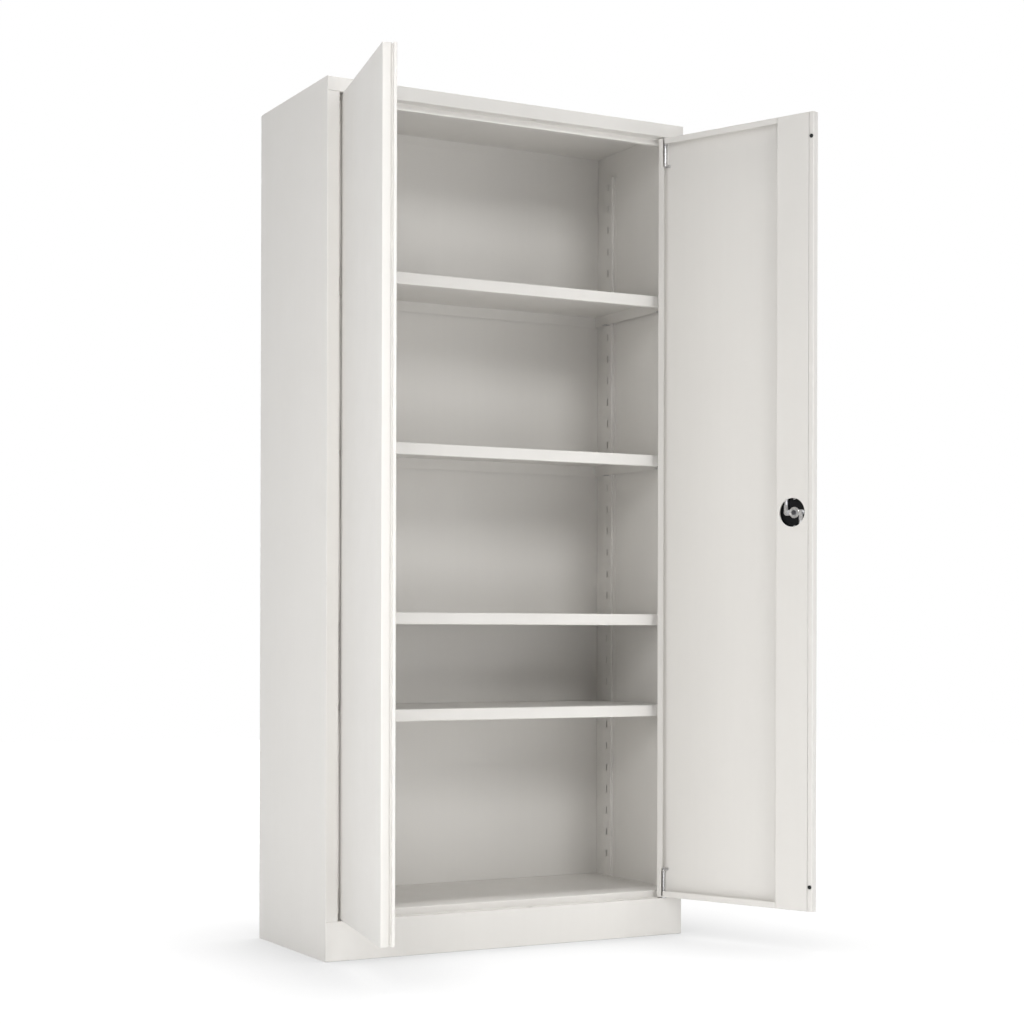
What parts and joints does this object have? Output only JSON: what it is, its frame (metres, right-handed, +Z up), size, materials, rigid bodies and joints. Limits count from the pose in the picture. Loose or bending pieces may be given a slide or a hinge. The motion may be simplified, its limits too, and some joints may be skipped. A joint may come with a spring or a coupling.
{
  "type": "office cabinet",
  "caption": "Tall sheet-steel office cabinet with hinged doors, adjustable shelves on slotted rails, and a turning grip that drives lock rods into the frame.",
  "frame": {"origin": "middle of the plinth's foot, on the floor, 11 mm behind the plane of the cabinet front", "axes": "+X to the viewer's right across the front, +Y from the front to the back, +Z up; the doors stand open at rest"},
  "size_m": [1.114, 0.8164, 1.95],
  "materials": {
    "body_paint": "fine-textured powder coat, light grey",
    "door_paint": "fine-textured powder coat, light grey",
    "zinc_steel": "bright zinc plate",
    "plug_chrome": "polished nickel",
    "black_plastic": "fine-grained black",
    "black_rubber": "matt"
  },
  "bodies": {
    "carcass": {"left_side_panel": "body_paint", "right_side_panel": "body_paint", "back_panel": "body_paint", "top_panel": "body_paint", "floor_panel": "body_paint", "plinth_panel": "body_paint", "front_left_rail": "body_paint", "rear_left_rail": "body_paint", "front_right_rail": "body_paint", "rear_right_rail": "body_paint", "shelf_1": "body_paint", "shelf_2": "body_paint", "shelf_3": "body_paint", "shelf_4": "body_paint", "shelf_1_clips": "zinc_steel", "shelf_2_clips": "zinc_steel", "shelf_3_clips": "zinc_steel", "shelf_4_clips": "zinc_steel", "hinge_bushes": "zinc_steel"},
    "left_door": {"left_door_skin": "door_paint", "meeting_strip": "door_paint", "left_hinge_brackets": "door_paint", "left_upper_spring": "zinc_steel", "left_lower_spring": "zinc_steel"},
    "left_upper_hinge_pin": {"left_upper_pin": "zinc_steel"},
    "left_lower_hinge_pin": {"left_lower_pin": "zinc_steel"},
    "right_door": {"right_door_skin": "door_paint", "lock_channel": "door_paint", "door_bumpers": "black_rubber", "rod_guides": "black_plastic", "right_hinge_brackets": "door_paint", "right_upper_spring": "zinc_steel", "right_lower_spring": "zinc_steel", "lock_front_plate": "black_plastic", "lock_back_ring": "black_plastic", "lock_screws": "zinc_steel"},
    "right_upper_hinge_pin": {"right_upper_pin": "zinc_steel"},
    "right_lower_hinge_pin": {"right_lower_pin": "zinc_steel"},
    "grip": {"turning_grip": "black_plastic", "lock_cam": "zinc_steel", "cam_rivets": "zinc_steel", "cam_screw": "zinc_steel"},
    "key_plug": {"lock_plug": "plug_chrome"},
    "upper_lock_rod": {"upper_rod": "zinc_steel"},
    "lower_lock_rod": {"lower_rod": "zinc_steel"}
  },
  "joints": [
    {"name": "left_door_swing", "type": "hinge", "parent": "carcass", "child": "left_door", "pos_m": [-0.4195, -0.003, 1.003], "axis": [0, 0, -1], "range_deg": [-102.3, 12.7]},
    {"name": "right_door_swing", "type": "hinge", "parent": "carcass", "child": "right_door", "pos_m": [0.4195, -0.003, 1.003], "axis": [0, 0, 1], "range_deg": [-112.7, 2.3]},
    {"name": "left_upper_pin_pull", "type": "slide", "parent": "left_door", "child": "left_upper_hinge_pin", "axis": [0, 0, -1], "range_m": [0, 0.012], "stiffness_N_per_m": 300, "springref_m": -0.012, "deforming": ["left_upper_spring"]},
    {"name": "left_lower_pin_pull", "type": "slide", "parent": "left_door", "child": "left_lower_hinge_pin", "axis": [0, 0, 1], "range_m": [0, 0.012], "stiffness_N_per_m": 300, "springref_m": -0.012, "deforming": ["left_lower_spring"]},
    {"name": "right_upper_pin_pull", "type": "slide", "parent": "right_door", "child": "right_upper_hinge_pin", "axis": [0, 0, -1], "range_m": [0, 0.012], "stiffness_N_per_m": 300, "springref_m": -0.012, "deforming": ["right_upper_spring"]},
    {"name": "right_lower_pin_pull", "type": "slide", "parent": "right_door", "child": "right_lower_hinge_pin", "axis": [0, 0, 1], "range_m": [0, 0.012], "stiffness_N_per_m": 300, "springref_m": -0.012, "deforming": ["right_lower_spring"]},
    {"name": "grip_turn", "type": "hinge", "parent": "right_door", "child": "grip", "pos_m": [0.55497, -0.33981, 1.003], "axis": [0.9225, 0.3859, 0], "range_deg": [0, 90]},
    {"name": "key_turn", "type": "hinge", "parent": "grip", "child": "key_plug", "pos_m": [0.55497, -0.33981, 1.003], "axis": [0.9225, 0.3859, 0], "range_deg": [0, 90]},
    {"name": "upper_rod_pivot", "type": "hinge", "parent": "grip", "child": "upper_lock_rod", "pos_m": [0.54725, -0.32136, 1.003], "axis": [0.9225, 0.3859, 0], "range_deg": [-95, 0]},
    {"name": "lower_rod_pivot", "type": "hinge", "parent": "grip", "child": "lower_lock_rod", "pos_m": [0.56269, -0.35826, 1.003], "axis": [0.9225, 0.3859, 0], "range_deg": [-95, 0]}
  ],
  "couplings": [
    {"joint": "upper_rod_pivot", "follows": "grip_turn", "ratio": -1.014},
    {"joint": "lower_rod_pivot", "follows": "grip_turn", "ratio": -1.014}
  ]
}
